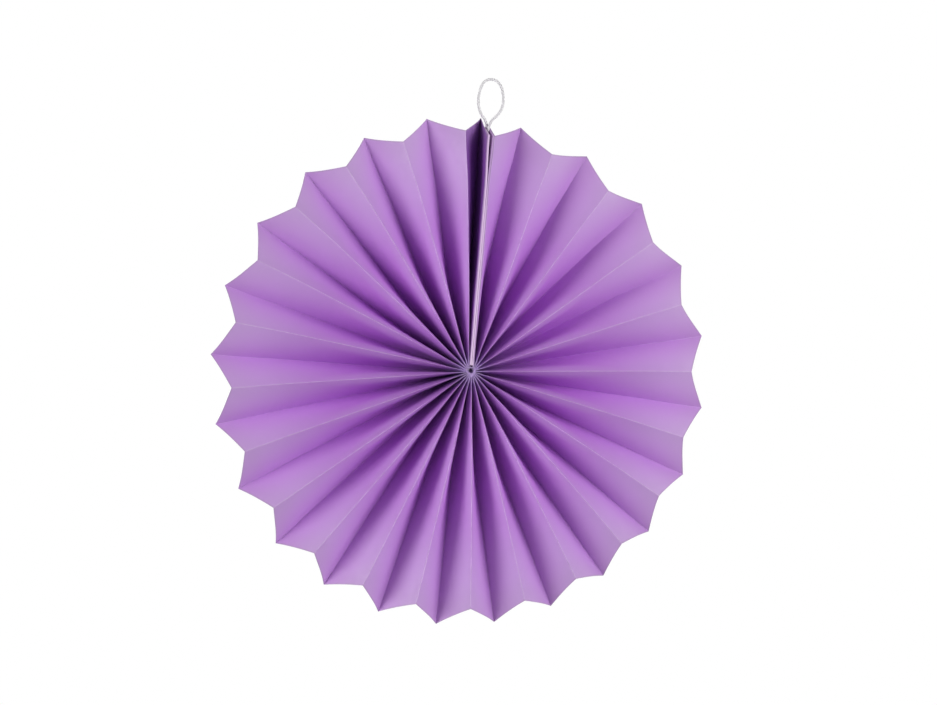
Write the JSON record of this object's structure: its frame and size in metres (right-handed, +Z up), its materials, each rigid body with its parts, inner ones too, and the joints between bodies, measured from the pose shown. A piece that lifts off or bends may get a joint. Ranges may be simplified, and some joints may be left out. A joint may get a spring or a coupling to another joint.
{
  "type": "paper fan rosette",
  "caption": "Round paper fan rosette: an accordion-pleated lilac strip opened into a full disc with a zigzag rim, card strips at its seam and a soft cord loop for hanging.",
  "frame": {"origin": "inside top of the hanging loop, where a hook or line carries the rosette", "axes": "+X to the right seen from the front, +Y to the back, +Z up; the disc stands in the XZ plane with its seam straight up"},
  "size_m": [0.2997, 0.0224, 0.3256],
  "materials": {
    "lilac_paper": "smooth uncoated coloured paper",
    "white_card": "matte white board, bare at its cut edges",
    "adhesive_tape": "matte translucent film",
    "white_thread": "twisted cotton",
    "white_cord": "soft twisted cord"
  },
  "bodies": {
    "root": {"pleated_disc": "lilac_paper", "left_card_strip": "white_card", "right_card_strip": "white_card", "seam_tape": "adhesive_tape", "centre_thread": "white_thread", "hanging_loop": "white_cord"}
  },
  "joints": []
}
